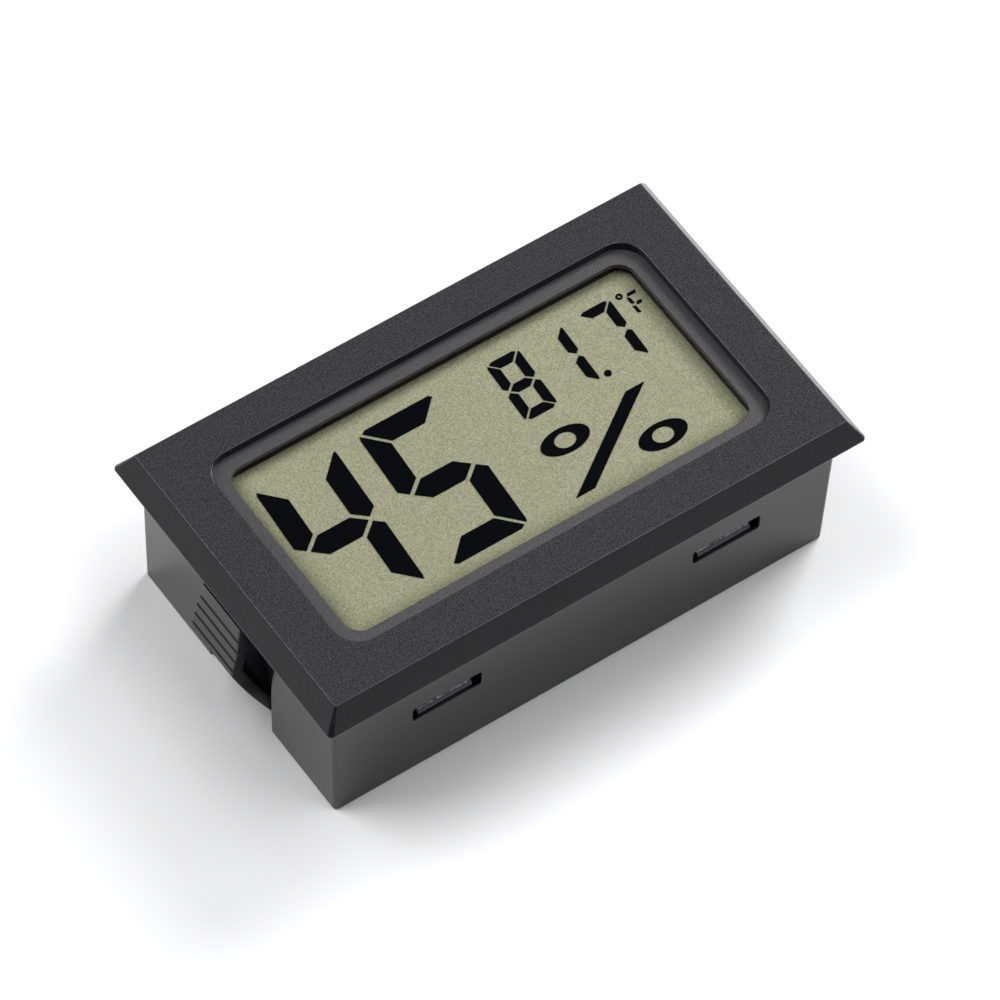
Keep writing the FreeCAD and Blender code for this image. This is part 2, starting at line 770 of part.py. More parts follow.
def contact_negative():
    """Bowed leaf spring that presses on the cap of the other cell."""
    outer = cell_x + tail_offset + leaf_thickness / 2
    inner = cell_x - leaf_reach
    near = dimple_radius
    under = [(outer, roof_bottom - leaf_thickness), (cell_x + near, cell_top),
             (cell_x - near, cell_top), (inner, roof_bottom - leaf_thickness)]
    over = [(x, z + leaf_thickness) for x, z in reversed(under)]
    leaf = cross_prism(under + over, -leaf_width / 2, leaf_width / 2)
    return leaf.fuse(contact_tail(1)).removeSplitter()


def tab_block(end_room, run, z0, z1):
    """Block of a door tab's length and reach, larger by end_room and drawn out by run along X."""
    half = door_tab_length / 2 + end_room
    return box(door_tab_offset - half, door_tab_offset + half + run,
               door_half_y - door_clearance, door_half_y + door_tab_reach + end_room, z0, z1)


def tab_places(tab):
    """The tab on both long sides, at both ends of the door, all facing the same way along X."""
    behind = tab.translated(vec(-2 * door_tab_offset, 0, 0))
    front = [tab, behind]
    return front + [one.mirror(vec(0, 0, 0), vec(0, 1, 0)) for one in front]


def battery_door():
    door = rounded_plate(door_half_x, door_half_y, cavity_corner, door_recess, door_top)
    door = door.fuse(tab_places(tab_block(0, 0, tab_bottom, tab_top)))
    for number in range(grip_count):
        x = -door_half_x + grip_offset + number * grip_pitch
        door = door.cut(box(x, x + grip_width, -grip_length / 2, grip_length / 2,
                            door_recess, door_recess + grip_depth))
    return door.removeSplitter()


def link_strip():
    """Flat strip on the door's inner face that joins the two cells."""
    half_x = cell_x + strip_overhang
    return box(-half_x, half_x, -leaf_width / 2, leaf_width / 2, door_top, door_top + strip_thickness)


def snap_hook():
    """Arm beside the wall with a nose that stands in the slot: land, ramp and catch face."""
    inner = cavity_half_y - cover_clearance - hook_arm
    wall = inner + hook_arm
    land = body_half_y - hook_setback
    catch = slot_rise + hook_gap
    top = slot_rise + slot_height - hook_gap
    points = [(inner, 0), (wall, 0), (wall, catch), (land, catch), (land, catch + hook_land),
              (wall, top), (inner, top)]
    left = -hook_width / 2
    corners = [vec(left, y, z) for y, z in points]
    face = Part.Face(Part.makePolygon(corners + corners[:1]))
    return face.extrude(vec(hook_width, 0, 0))


def rear_cover():
    half_x = cavity_half_x - cover_clearance
    half_y = cavity_half_y - cover_clearance
    cover = rounded_plate(half_x, half_y, cavity_corner, 0, cover_thickness)
    for notch in both_ends(bay_block(bay_wall + cover_clearance, bay_inner - cover_clearance,
                                     cavity_half_x, lcd_front)):
        cover = cover.cut(notch)
    recess_roof = door_top + door_clearance
    frame = box(frame_left, frame_right, -frame_half_y, frame_half_y, 0, recess_roof + frame_roof)
    well = box(-well_half_x - well_wall, well_half_x + well_wall, -well_half_y - well_wall,
               well_half_y + well_wall, 0, roof_top)
    post_x = cavity_half_x - post_inset_x
    post_y = cavity_half_y - post_inset_y
    half = post_side / 2
    post = box(post_x - half, post_x + half, post_y - half, post_y + half, 0, board_back)
    cover = cover.fuse([frame, well] + all_corners(post) + at_slots(snap_hook()))

    # Battery well, the door's recess and the grooves for its tabs
    cover = cover.cut(box(-well_half_x, well_half_x, -well_half_y, well_half_y, -run_past,
                          roof_bottom))
    cover = cover.cut(box(frame_left + frame_width, frame_right - frame_width,
                          -door_half_y - door_clearance, door_half_y + door_clearance,
                          -run_past, recess_roof))
    groove = tab_block(door_clearance, door_travel, tab_bottom - cover_clearance,
                       tab_top + cover_clearance)
    release = tab_block(door_clearance, 0, -run_past, tab_bottom).translated(vec(door_travel, 0, 0))
    for space in tab_places(groove) + tab_places(release):
        cover = cover.cut(space)

    # Openings in the well's roof for the contact tails
    for side in (-1, 1):
        x = side * (cell_x + tail_offset)
        slim = leaf_thickness / 2 + tail_clearance
        wide = tail_width / 2 + tail_clearance
        cover = cover.cut(box(x - slim, x + slim, -wide, wide,
                              roof_bottom - run_past, roof_top + run_past))

    # Air slots behind the sensors
    for number in range(vent_count):
        x = sensor_x + (number - (vent_count - 1) / 2) * vent_pitch
        cover = cover.cut(box(x - vent_width / 2, x + vent_width / 2,
                              -vent_length / 2, vent_length / 2,
                              -run_past, cover_thickness + run_past))
    return cover.removeSplitter()


save("front_housing", front_housing())
save("lcd_front_polarizer", glass_outline(film_inset, -glass_half_y, polarizer_back, lcd_front))
save("lcd_front_glass", glass_outline(0, ledge_y, figures_front, polarizer_back))
save("lcd_edge_seal", edge_seal())
save("lcd_humidity_digits", humidity_digits())
save("lcd_temperature_digits", temperature_digits())
save("lcd_percent_sign", percent_sign())
save("lcd_unit_mark", unit_mark())
save("lcd_rear_glass", glass_outline(0, -glass_half_y, rear_glass_back, figures_back))
save("lcd_reflector", glass_outline(film_inset, -glass_half_y, reflector_back, rear_glass_back))
save("zebra_strip", zebra_strip())
save("lcd_foam_pad", foam_pad())
save("circuit_board", circuit_board())
save("board_screws", board_screws())
save("chip_blob", chip_blob())
save("chip_capacitors", chip_row_of(capacitor_count, chip_pitch_wide, capacitor_size, chip_row))
save("chip_resistors", chip_row_of(resistor_count, chip_pitch_close, resistor_size, -chip_row))
save("humidity_sensor", humidity_sensor())
save("temperature_sensor", temperature_sensor())
save("battery_contact_positive", contact_positive())
save("battery_contact_negative", contact_negative())
save("battery_cell_a", battery_cell(-1, False))
save("battery_cell_b", battery_cell(1, True))
save("rear_cover", rear_cover())
save("battery_door", battery_door())
save("battery_link_strip", link_strip())
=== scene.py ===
import math
import bmesh
import bpy
from mathutils import Matrix, Quaternion, Vector


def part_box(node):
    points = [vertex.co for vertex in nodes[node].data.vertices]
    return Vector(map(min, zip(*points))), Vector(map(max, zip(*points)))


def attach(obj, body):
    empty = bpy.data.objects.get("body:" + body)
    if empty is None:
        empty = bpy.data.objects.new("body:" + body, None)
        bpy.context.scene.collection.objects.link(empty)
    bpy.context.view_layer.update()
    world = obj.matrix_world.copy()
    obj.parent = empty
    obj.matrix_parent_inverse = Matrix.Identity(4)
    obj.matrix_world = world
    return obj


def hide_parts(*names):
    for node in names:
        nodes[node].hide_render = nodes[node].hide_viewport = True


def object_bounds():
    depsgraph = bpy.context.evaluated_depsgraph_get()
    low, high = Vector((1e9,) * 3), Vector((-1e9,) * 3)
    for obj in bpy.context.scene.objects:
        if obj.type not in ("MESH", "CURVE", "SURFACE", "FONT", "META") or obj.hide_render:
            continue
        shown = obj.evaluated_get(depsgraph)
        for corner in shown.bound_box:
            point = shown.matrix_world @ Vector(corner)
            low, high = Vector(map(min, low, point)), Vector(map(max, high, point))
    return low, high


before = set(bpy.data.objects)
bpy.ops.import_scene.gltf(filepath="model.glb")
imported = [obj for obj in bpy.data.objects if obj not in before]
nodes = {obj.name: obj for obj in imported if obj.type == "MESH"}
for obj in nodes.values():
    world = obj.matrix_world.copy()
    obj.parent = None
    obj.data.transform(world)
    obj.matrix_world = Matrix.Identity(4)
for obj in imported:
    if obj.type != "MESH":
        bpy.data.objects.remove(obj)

# Panel thermo-hygrometer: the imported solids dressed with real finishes.
# Blender works in metres; sizes in this file are millimetres unless a note says otherwise.
mm = 0.001
cadLow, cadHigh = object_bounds()
scene = bpy.context.scene
print("frame loaded:", len(nodes), "solids")


# sRGB hex to the linear values that sockets take
def hexColour(text):
    shares = [int(text[i:i + 2], 16) / 255 for i in (1, 3, 5)]
    linear = [c / 12.92 if c <= 0.04045 else ((c + 0.055) / 1.055) ** 2.4 for c in shares]
    return (*linear, 1.0)


# One node with its settings; an input is a value or another node's output
def addNode(tree, kind, inputs=None, **settings):
    node = tree.nodes.new(kind)
    for name, value in settings.items():
        setattr(node, name, value)
    for socket, value in (inputs or {}).items():
        if isinstance(value, bpy.types.NodeSocket):
            tree.links.new(value, node.inputs[socket])
        else:
            node.inputs[socket].default_value = value
    return node


def startMaterial(name):
    material = bpy.data.materials.new(name)
    material.use_nodes = True
    material.node_tree.nodes.clear()
    return material, material.node_tree


def finishMaterial(material, shader):
    addNode(material.node_tree, "ShaderNodeOutputMaterial", {"Surface": shader})
    return material


# Where a point lies on the part, in mm
def partPlace(tree):
    coordinates = addNode(tree, "ShaderNodeTexCoord")
    return addNode(tree, "ShaderNodeVectorMath",
                   {0: coordinates.outputs["Object"], "Scale": 1 / mm}, operation="SCALE").outputs[0]


# Blender's wave texture repeats every tau / 20 at scale 1, so this gives the scale for a pitch in mm
def waveScale(pitch):
    return math.tau / 20 / pitch


# 1 inside a box and 0 outside: places holds the axes' outputs, spans the box's sides in mm
def insideBox(tree, places, spans):
    share = 1.0
    for axis, (low, high) in spans.items():
        inside = addNode(tree, "ShaderNodeMath",
                         {0: places[axis], 1: (low + high) / 2, 2: (high - low) / 2},
                         operation="COMPARE")
        share = addNode(tree, "ShaderNodeMath", {0: inside.outputs[0], 1: share},
                        operation="MULTIPLY").outputs[0]
    return share


def finishValue(value):
    return hexColour(value) if isinstance(value, str) else value


# Finish that turns from one into another as share goes from 0 to 1
def turnFinish(tree, share, under, over):
    turned = {}
    kinds = {"base": "RGBA", "paler": "RGBA", "metallic": "FLOAT", "roughness": "FLOAT"}
    for key, kind in kinds.items():
        turned[key] = addNode(tree, "ShaderNodeMix",
                              {"Factor": share, "A": finishValue(under[key]), "B": finishValue(over[key])},
                              data_type=kind).outputs["Result"]
    return turned


# Shader of a finish whose tone goes from base to paler with the grain
def shadeFinish(tree, finish, grain, normal):
    colour = addNode(tree, "ShaderNodeMix",
                     {"Factor": grain, "A": finishValue(finish["base"]), "B": finishValue(finish["paler"])},
                     data_type="RGBA")
    return addNode(tree, "ShaderNodeBsdfPrincipled",
                   {"Base Color": colour.outputs["Result"], "Metallic": finish["metallic"],
                    "Roughness": finish["roughness"], "Normal": normal}).outputs["BSDF"]


def dress(material, *names):
    for name in names:
        for materialSlot in nodes[name].material_slots:
            materialSlot.material = material


# Black ABS moulded in a spark-eroded tool. The tool's fine pits leave the front face matt and
# lively, while the walls and the rounded edges come off smoother steel as soft satin. The walls of
# the window and of the lip inside it are polished bright, so they mirror the ledge and the display.
# The ledge is a blasted satin, painted paler still as light on it, and the floor of the clip bays is rough
# and painted paler as light in that deep recess.
housingAbs = {
    "base": "#0a0a0c",
    "paler": "#131215",
    "pitted": "#050506",       # shade in the pits of the front
    "land": "#29262c",         # land between them, painted paler as light on the grain
    "landSpan": (0.35, 0.65),  # noise values where a pit ends and where the land is full
    "blastedPaintedLight": "#4a494d",      # ledge: blasted satin, painted paler as light on it
    "bayFloorPaintedLight": "#48464d",         # floor of the clip bays, painted paler as light in the recess
    "cloudSize": 7.0,          # slow clouding of the melt
    "pitSize": 0.11,           # the real pits are 0.05 wide, drawn as coarse as the picture can show
    "pitDepth": 0.06,
    "wallGrain": 0.12,         # share of the front's grain
    "flangeGrain": 0.35,       # on the chamfers and all else above the flange's underside
    "ledgeGrain": 0.8,
    "polishedGrain": 0.0,
    "flangeBottom": 13.2,      # heights are measured from the back
    "frontRoughness": 0.8,
    "landGloss": 0.16,         # roughness that the land has less, and the pits more
    "wallRoughness": 0.28,
    "ledgeRoughness": 0.47,
    "polishedRoughness": 0.08,
    "dullRoughness": 0.6,
    "flatFrom": 0.975,         # upward part of the normal where an edge becomes the front face
    "frontDepth": 0.05,        # the front's grain fades out this far below it
    # spans of these places, the same on both sides of the middle
    "ledge": {"X": (0, 19.2), "Y": (0, 9.75), "Z": (14.4, 14.47)},
    "window": {"X": (0, 19.4), "Y": (0, 9.9), "Z": (14.5, 15.3)},
    "lip": {"X": (0, 18.2), "Y": (0, 8.75), "Z": (13.9, 14.42)},
    "bay": {"X": (20.8, 21.0), "Y": (0, 6.5), "Z": (0, 13.3)},
    "ior": 1.54,
}


def mouldedAbs(look, frontHeight):
    material, tree = startMaterial("moulded black ABS")
    place = partPlace(tree)
    fromMiddle = addNode(tree, "ShaderNodeVectorMath", {0: place}, operation="ABSOLUTE")
    axes = addNode(tree, "ShaderNodeSeparateXYZ", {"Vector": fromMiddle.outputs[0]}).outputs
    onTop = addNode(tree, "ShaderNodeMapRange",
                    {"Value": axes["Z"], "From Min": frontHeight - look["frontDepth"],
                     "From Max": frontHeight}).outputs["Result"]
    coordinates = addNode(tree, "ShaderNodeTexCoord")
    upward = addNode(tree, "ShaderNodeSeparateXYZ", {"Vector": coordinates.outputs["Normal"]}).outputs["Z"]
    flat = addNode(tree, "ShaderNodeMapRange",
                   {"Value": upward, "From Min": look["flatFrom"], "From Max": 1.0}).outputs["Result"]
    onFront = addNode(tree, "ShaderNodeMath", {0: onTop, 1: flat}, operation="MULTIPLY").outputs[0]
    inWindow = insideBox(tree, axes, look["window"])
    onLip = insideBox(tree, axes, look["lip"])
    polished = addNode(tree, "ShaderNodeMath", {0: inWindow, 1: onLip}, operation="MAXIMUM").outputs[0]
    inBay = insideBox(tree, axes, look["bay"])
    onLedge = insideBox(tree, axes, look["ledge"])
    onFlange = addNode(tree, "ShaderNodeMath",
                       {0: axes["Z"], 1: look["flangeBottom"]}, operation="GREATER_THAN")
    sideGrain = addNode(tree, "ShaderNodeMapRange",
                        {"Value": onFlange.outputs[0], "To Min": look["wallGrain"],
                         "To Max": look["flangeGrain"]})
    satinGrain = addNode(tree, "ShaderNodeMix",
                         {"Factor": onLedge, "A": sideGrain.outputs["Result"], "B": look["ledgeGrain"]})
    wornGrain = addNode(tree, "ShaderNodeMix",
                        {"Factor": polished, "A": satinGrain.outputs["Result"],
                         "B": look["polishedGrain"]})
    grainShare = addNode(tree, "ShaderNodeMath",
                         {0: wornGrain.outputs["Result"], 1: onFront}, operation="MAXIMUM").outputs[0]
    clouds = addNode(tree, "ShaderNodeTexNoise",
                     {"Vector": place, "Scale": 1 / look["cloudSize"], "Detail": 2.0})
    pits = addNode(tree, "ShaderNodeTexNoise",
                   {"Vector": place, "Scale": 1 / look["pitSize"], "Detail": 2.0, "Roughness": 0.6})
    pitEnd, landFull = look["landSpan"]
    lands = addNode(tree, "ShaderNodeMapRange",
                    {"Value": pits.outputs["Fac"], "From Min": pitEnd,
                     "From Max": landFull}).outputs["Result"]
    plain = addNode(tree, "ShaderNodeMix",
                    {"Factor": clouds.outputs["Fac"], "A": hexColour(look["base"]),
                     "B": hexColour(look["paler"])}, data_type="RGBA")
    # Painted light: the floors of the clip bays are paler, to lift the shade in them
    withBayPaintedLight = addNode(tree, "ShaderNodeMix",
                   {"Factor": inBay, "A": plain.outputs["Result"], "B": hexColour(look["bayFloorPaintedLight"])},
                   data_type="RGBA")
    # The ledge: blasted satin, painted paler as light on it
    walls = addNode(tree, "ShaderNodeMix",
                    {"Factor": onLedge, "A": withBayPaintedLight.outputs["Result"], "B": hexColour(look["blastedPaintedLight"])},
                    data_type="RGBA")
    # Painted light and shade of the grain: dark in the pits, paler on the land
    grained = addNode(tree, "ShaderNodeMix",
                      {"Factor": lands, "A": hexColour(look["pitted"]), "B": hexColour(look["land"])},
                      data_type="RGBA")
    colour = addNode(tree, "ShaderNodeMix",
                     {"Factor": grainShare, "A": walls.outputs["Result"], "B": grained.outputs["Result"]},
                     data_type="RGBA")
    pitGloss = addNode(tree, "ShaderNodeMapRange",
                       {"Value": lands, "To Min": look["frontRoughness"] + look["landGloss"],
                        "To Max": look["frontRoughness"] - look["landGloss"]})
    bayGloss = addNode(tree, "ShaderNodeMix",
                       {"Factor": inBay, "A": look["wallRoughness"], "B": look["dullRoughness"]})
    windowGloss = addNode(tree, "ShaderNodeMix",
                          {"Factor": polished, "A": bayGloss.outputs["Result"],
                           "B": look["polishedRoughness"]})
    ledgeGloss = addNode(tree, "ShaderNodeMix",
                         {"Factor": onLedge, "A": windowGloss.outputs["Result"],
                          "B": look["ledgeRoughness"]})
    roughness = addNode(tree, "ShaderNodeMix",
                        {"Factor": onFront, "A": ledgeGloss.outputs["Result"],
                         "B": pitGloss.outputs["Result"]})
    bump = addNode(tree, "ShaderNodeBump",
                   {"Strength": grainShare, "Distance": look["pitDepth"] * mm,
                    "Height": pits.outputs["Fac"]})
    shader = addNode(tree, "ShaderNodeBsdfPrincipled",
                     {"Base Color": colour.outputs["Result"], "Roughness": roughness.outputs["Result"],
                      "IOR": look["ior"], "Normal": bump.outputs["Normal"]})
    return finishMaterial(material, shader.outputs["BSDF"])


dress(mouldedAbs(housingAbs, cadHigh.z / mm), "front_housing")

# Cover and door come from a coarser sparked tool, a little paler. Each hook's nose is drawn paler than the
# rest of the cover, whiter in noisy patches, and given a coarse scuffed bump.
coverAbs = {
    "base": "#262528",
    "paler": "#302f33",
    "nosePalest": "#c8c8cc",
    "nosePale": "#4e4d51",     # the rest of the nose, drawn paler than the cover
    "cloudSize": 5.0,
    "pitSize": 0.2,
    "pitDepth": 0.035,
    "scuffSize": 0.22,
    "scuffDepth": 0.1,
    "palePatchSpan": (0.44, 0.58),  # noise values where a pale patch begins and where it is full
    "noseStart": 11.35,        # from the middle of the part along Y
    "noseFoot": 6.9,           # the noses stand above this height
    "roughness": 0.42,
    "ior": 1.54,
}


def sparkedAbs(look):
    material, tree = startMaterial("sparked black ABS")
    place = partPlace(tree)
    axes = addNode(tree, "ShaderNodeSeparateXYZ", {"Vector": place})
    outward = addNode(tree, "ShaderNodeMath", {0: axes.outputs["Y"]}, operation="ABSOLUTE")
    onSide = addNode(tree, "ShaderNodeMapRange",
                     {"Value": outward.outputs[0], "From Min": look["noseStart"],
                      "From Max": look["noseStart"] + look["scuffSize"]})
    raised = addNode(tree, "ShaderNodeMath",
                     {0: axes.outputs["Z"], 1: look["noseFoot"]}, operation="GREATER_THAN")
    nose = addNode(tree, "ShaderNodeMath",
                   {0: onSide.outputs["Result"], 1: raised.outputs[0]}, operation="MULTIPLY").outputs[0]
    clouds = addNode(tree, "ShaderNodeTexNoise",
                     {"Vector": place, "Scale": 1 / look["cloudSize"], "Detail": 2.0})
    pits = addNode(tree, "ShaderNodeTexNoise",
                   {"Vector": place, "Scale": 1 / look["pitSize"], "Detail": 3.0, "Roughness": 0.6})
    scuffs = addNode(tree, "ShaderNodeTexNoise",
                     {"Vector": place, "Scale": 1 / look["scuffSize"], "Detail": 4.0, "Roughness": 0.7})
    scuffStart, scuffFull = look["palePatchSpan"]
    palePatch = addNode(tree, "ShaderNodeMapRange",
                   {"Value": scuffs.outputs["Fac"], "From Min": scuffStart, "From Max": scuffFull})
    palestShare = addNode(tree, "ShaderNodeMath",
                        {0: nose, 1: palePatch.outputs["Result"]}, operation="MULTIPLY")
    plain = addNode(tree, "ShaderNodeMix",
                    {"Factor": clouds.outputs["Fac"], "A": hexColour(look["base"]),
                     "B": hexColour(look["paler"])}, data_type="RGBA")
    # Noses drawn paler than the cover, whiter in noisy patches
    paleNose = addNode(tree, "ShaderNodeMix",
                     {"Factor": onSide.outputs["Result"], "A": plain.outputs["Result"],
                      "B": hexColour(look["nosePale"])}, data_type="RGBA")
    colour = addNode(tree, "ShaderNodeMix",
                     {"Factor": palestShare.outputs[0], "A": paleNose.outputs["Result"],
                      "B": hexColour(look["nosePalest"])}, data_type="RGBA")
    fineBump = addNode(tree, "ShaderNodeBump",
                       {"Distance": look["pitDepth"] * mm, "Height": pits.outputs["Fac"]})
    bump = addNode(tree, "ShaderNodeBump",
                   {"Strength": nose, "Distance": look["scuffDepth"] * mm,
                    "Height": scuffs.outputs["Fac"], "Normal": fineBump.outputs["Normal"]})
    shader = addNode(tree, "ShaderNodeBsdfPrincipled",
                     {"Base Color": colour.outputs["Result"], "Roughness": look["roughness"],
                      "IOR": look["ior"], "Normal": bump.outputs["Normal"]})
    return finishMaterial(material, shader.outputs["BSDF"])


dress(sparkedAbs(coverAbs), "rear_cover", "battery_door")
print("housing, cover and door dressed")


# Display. The front polariser is an anti-glare triacetate film, etched fine enough to blur what it
# mirrors. It darkens what lies behind and warms it to olive, as two crossed films do.
antiGlareFilm = {
    "tint": "#ebebe4",
    "mirror": "#ffffff",
    "roughness": 0.1,
    "grainSize": 0.12,
    "grainDepth": 0.0008,
    "gloss": 0.017,            # share mirrored when looked at squarely
}
# Float glass: nearly clear, with the green of its iron
floatGlass = {
    "tint": "#fdfefd",
    "deeper": "#f8fcf9",
    "streakSize": 4.0,
    "roughness": 0.05,
    "gloss": 0.003,            # bonded on both faces, so hardly anything is mirrored inside
}
# Rear glass with the rear polariser and its embossed silver foil bonded on: from the front the three are one
# pale olive sheet with a fine sparkle, a little warmer and cooler in slow patches, and darkened towards the
# window frame by painted shade
silverFoil = {
    "base": "#958f83",
    "paler": "#c8c3b2",
    "warm": "#ffffff",
    "cool": "#f4faf2",
    "edge": "#8f9a86",         # painted shade, where the window frame keeps the light off it
    "paintedShadeShift": (0.5, 0.5, 0.0),   # shifts the painted shade: the light comes over the right and far edges, so they are paler
    "paintedShadeStart": (15.8, 6.5, 0.0),  # from the middle along X and Y; Z takes no part
    "paintedShadeEnd": (18.6, 9.0, 1.0),
    "paintedShadePower": 2.2,
    "crestSpan": (0.3, 0.7),   # noise values of the embossing's feet and crests
    "patchSize": 1.6,
    "grainSize": 0.13,         # the embossing is 0.03 wide, drawn as coarse as the picture can show
    "grainDepth": 0.02,
    "roughness": 0.55,
    "ior": 1.2,                # wet by the glass and its glue
}
# Liquid crystal switched on: it takes nearly all light and leaves a blue black
litCrystal = {
    "base": "#06070b",
    "paler": "#0b0d15",
    "grainSize": 0.1,
    "roughness": 0.5,
    "ior": 1.03,               # wet by the glass on both faces, so it mirrors hardly anything
}


# Share of light mirrored by a clear sheet: least when looked at squarely, most at a glancing angle,
# and the same from both sides. The fifth power is Schlick's curve for glass and plastics.
def sheetGloss(tree, squarely):
    evenBlend = 0.5            # Facing is then one less the cosine of the angle
    schlickPower = 5.0
    glancing = addNode(tree, "ShaderNodeLayerWeight", {"Blend": evenBlend})
    steep = addNode(tree, "ShaderNodeMath",
                    {0: glancing.outputs["Facing"], 1: schlickPower}, operation="POWER")
    share = addNode(tree, "ShaderNodeMapRange", {"Value": steep.outputs[0], "To Min": squarely})
    return share.outputs["Result"]


def antiGlarePolariser(look):
    material, tree = startMaterial("anti-glare polariser film")
    place = partPlace(tree)
    grain = addNode(tree, "ShaderNodeTexNoise",
                    {"Vector": place, "Scale": 1 / look["grainSize"], "Detail": 2.0})
    bump = addNode(tree, "ShaderNodeBump",
                   {"Distance": look["grainDepth"] * mm, "Height": grain.outputs["Fac"]})
    mirror = addNode(tree, "ShaderNodeBsdfAnisotropic",
                     {"Color": hexColour(look["mirror"]), "Roughness": look["roughness"],
                      "Normal": bump.outputs["Normal"]})
    clear = addNode(tree, "ShaderNodeBsdfTransparent", {"Color": hexColour(look["tint"])})
    both = addNode(tree, "ShaderNodeMixShader",
                   {0: sheetGloss(tree, look["gloss"]), 1: clear.outputs["BSDF"], 2: mirror.outputs["BSDF"]})
    return finishMaterial(material, both.outputs["Shader"])


def clearGlass(look):
    material, tree = startMaterial("float glass")
    streaks = addNode(tree, "ShaderNodeTexNoise",
                      {"Vector": partPlace(tree), "Scale": 1 / look["streakSize"]})
    tint = addNode(tree, "ShaderNodeMix",
                   {"Factor": streaks.outputs["Fac"], "A": hexColour(look["tint"]),
                    "B": hexColour(look["deeper"])}, data_type="RGBA")
    mirror = addNode(tree, "ShaderNodeBsdfAnisotropic", {"Roughness": look["roughness"]})
    clear = addNode(tree, "ShaderNodeBsdfTransparent", {"Color": tint.outputs["Result"]})
    both = addNode(tree, "ShaderNodeMixShader",
                   {0: look["gloss"], 1: clear.outputs["BSDF"], 2: mirror.outputs["BSDF"]})
    return finishMaterial(material, both.outputs["Shader"])


def embossedFoil(look):
    material, tree = startMaterial("embossed silver foil bonded to glass")
    place = partPlace(tree)
    grain = addNode(tree, "ShaderNodeTexNoise",
                    {"Vector": place, "Scale": 1 / look["grainSize"], "Detail": 2.0, "Roughness": 0.6})
    patches = addNode(tree, "ShaderNodeTexNoise",
                      {"Vector": place, "Scale": 1 / look["patchSize"], "Detail": 2.0})
    feet, tops = look["crestSpan"]
    crests = addNode(tree, "ShaderNodeMapRange",
                     {"Value": grain.outputs["Fac"], "From Min": feet, "From Max": tops})
    tone = addNode(tree, "ShaderNodeMix",
                   {"Factor": crests.outputs["Result"], "A": hexColour(look["base"]),
                    "B": hexColour(look["paler"])}, data_type="RGBA")
    tint = addNode(tree, "ShaderNodeMix",
                   {"Factor": patches.outputs["Fac"], "A": hexColour(look["warm"]),
                    "B": hexColour(look["cool"])}, data_type="RGBA")
    # Painted shade: the tint turns to the darker edge tone towards the window's edges, most at the near and
    # left ones
    shifted = addNode(tree, "ShaderNodeVectorMath", {0: place, 1: look["paintedShadeShift"]}, operation="SUBTRACT")
    spread = addNode(tree, "ShaderNodeVectorMath", {0: shifted.outputs[0]}, operation="ABSOLUTE")
    margin = addNode(tree, "ShaderNodeMapRange",
                     {"Vector": spread.outputs[0], "From Min": look["paintedShadeStart"],
                      "From Max": look["paintedShadeEnd"]}, data_type="FLOAT_VECTOR")
    nearEdge = addNode(tree, "ShaderNodeSeparateXYZ", {"Vector": margin.outputs["Vector"]})
    shaded = addNode(tree, "ShaderNodeMath",
                     {0: nearEdge.outputs["X"], 1: nearEdge.outputs["Y"]}, operation="MAXIMUM")
    paintedShadeShare = addNode(tree, "ShaderNodeMath", {0: shaded.outputs[0], 1: look["paintedShadePower"]}, operation="POWER")
    lit = addNode(tree, "ShaderNodeMix",
                  {"Factor": paintedShadeShare.outputs[0], "A": tint.outputs["Result"], "B": hexColour(look["edge"])},
                  data_type="RGBA")
    colour = addNode(tree, "ShaderNodeMix",
                     {"Factor": 1.0, "A": tone.outputs["Result"], "B": lit.outputs["Result"]},
                     data_type="RGBA", blend_type="MULTIPLY")
    bump = addNode(tree, "ShaderNodeBump",
                   {"Distance": look["grainDepth"] * mm, "Height": grain.outputs["Fac"]})
    shader = addNode(tree, "ShaderNodeBsdfPrincipled",
                     {"Base Color": colour.outputs["Result"], "Roughness": look["roughness"],
                      "IOR": look["ior"], "Normal": bump.outputs["Normal"]})
    return finishMaterial(material, shader.outputs["BSDF"])


def switchedCrystal(look):
    material, tree = startMaterial("switched liquid crystal")
    place = partPlace(tree)
    grain = addNode(tree, "ShaderNodeTexNoise", {"Vector": place, "Scale": 1 / look["grainSize"]})
    colour = addNode(tree, "ShaderNodeMix",
                     {"Factor": grain.outputs["Fac"], "A": hexColour(look["base"]),
                      "B": hexColour(look["paler"])}, data_type="RGBA")
    shader = addNode(tree, "ShaderNodeBsdfPrincipled",
                     {"Base Color": colour.outputs["Result"], "Roughness": look["roughness"],
                      "IOR": look["ior"]})
    return finishMaterial(material, shader.outputs["BSDF"])


filmMaterial = antiGlarePolariser(antiGlareFilm)
glassMaterial = clearGlass(floatGlass)
dress(embossedFoil(silverFoil), "lcd_rear_glass", "lcd_reflector")
dress(switchedCrystal(litCrystal), "lcd_humidity_digits", "lcd_temperature_digits",
      "lcd_percent_sign", "lcd_unit_mark")

# Front glass with its film in one piece. The film is smaller than the glass all round.
frontPane = {
    "clearBehind": 0.01,       # room kept over the figures
    "edgeRound": 0.03,
    "roundSteps": 2,
    "filmSkin": 0.001,         # faces higher than this over the glass belong to the film
}


# Closed plate built from level rings, each given by its corners and its height in metres
def steppedPlate(name, rings, body):
    mesh = bmesh.new()
    loops = []
    for low, high, z in rings:
        corners = ((low.x, low.y), (high.x, low.y), (high.x, high.y), (low.x, high.y))
        loops.append([mesh.verts.new((x, y, z)) for x, y in corners])
    mesh.faces.new(reversed(loops[0]))
    for below, above in zip(loops, loops[1:]):
        for i in range(4):
            mesh.faces.new((below[i], below[(i + 1) % 4], above[(i + 1) % 4], above[i]))
    mesh.faces.new(loops[-1])
    bmesh.ops.recalc_face_normals(mesh, faces=mesh.faces)
    data = bpy.data.meshes.new(name)
    mesh.to_mesh(data)
    mesh.free()
    piece = bpy.data.objects.new(name, data)
    scene.collection.objects.link(piece)
    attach(piece, body)
    return piece


